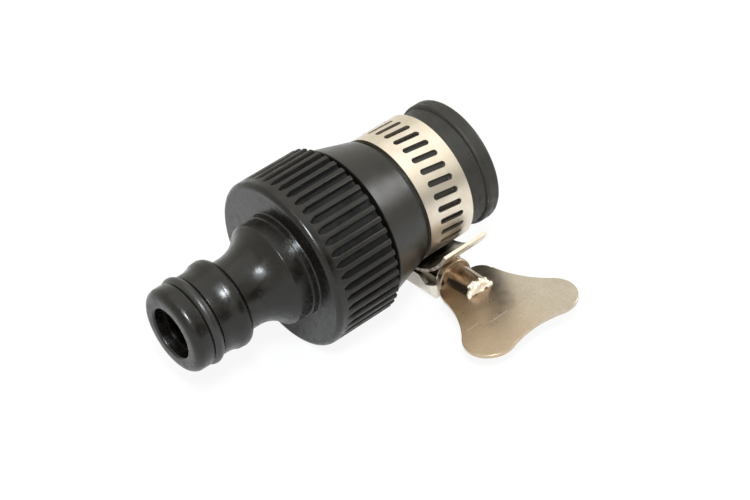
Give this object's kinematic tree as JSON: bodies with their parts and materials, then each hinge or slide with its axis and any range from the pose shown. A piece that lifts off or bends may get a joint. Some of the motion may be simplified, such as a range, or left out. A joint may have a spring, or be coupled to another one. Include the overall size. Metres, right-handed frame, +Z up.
{
  "type": "tap adapter",
  "caption": "Garden hose tap adapter: click-fit nipple with a ribbed screw collar, a threaded ring, a rubber sleeve for the tap's spout and a worm-drive band clamp with a wing key.",
  "frame": {"origin": "on the fitting's own axis, inside the rubber socket for the tap, in the middle of the clamp band", "axes": "+X towards the nipple's nose, which points down by the pitch at which the adapter lies; +Y along the clamp's screw towards the wing key; +Z up"},
  "size_m": [0.0677, 0.0495, 0.0338],
  "materials": {
    "cap_plastic": "satin gloss",
    "seal_rubber": "smooth",
    "ring_plastic": "satin",
    "sleeve_rubber": "matte",
    "band_steel": "bright rolled",
    "house_steel": "stamped",
    "screw_steel": "turned, plated",
    "wing_steel": "plated sheet"
  },
  "bodies": {
    "sleeve": {"rubber_sleeve": "sleeve_rubber", "threaded_ring": "ring_plastic", "clamp_band": "band_steel", "worm_housing": "house_steel"},
    "seal": {"nipple_seal_ring": "seal_rubber"},
    "cap": {"connector_cap": "cap_plastic"},
    "screw": {"worm_screw": "screw_steel", "wing_key": "wing_steel"}
  },
  "joints": [
    {"name": "cap_travel", "type": "slide", "parent": "sleeve", "child": "seal", "axis": [0.9936, 0, -0.1127], "range_m": [0, 0.00725]},
    {"name": "cap_turn", "type": "hinge", "parent": "seal", "child": "cap", "pos_m": [0.031, 0, -0.00352], "axis": [0.9936, 0, -0.1127], "range_deg": [0, 1440]},
    {"name": "screw_turn", "type": "hinge", "parent": "sleeve", "child": "screw", "pos_m": [-0.0017, 0, -0.01495], "axis": [0, 1, 0], "range_deg": [-1080, 1080]}
  ],
  "couplings": [
    {"joint": "cap_turn", "follows": "cap_travel", "rad_per_m": 3463.7}
  ]
}
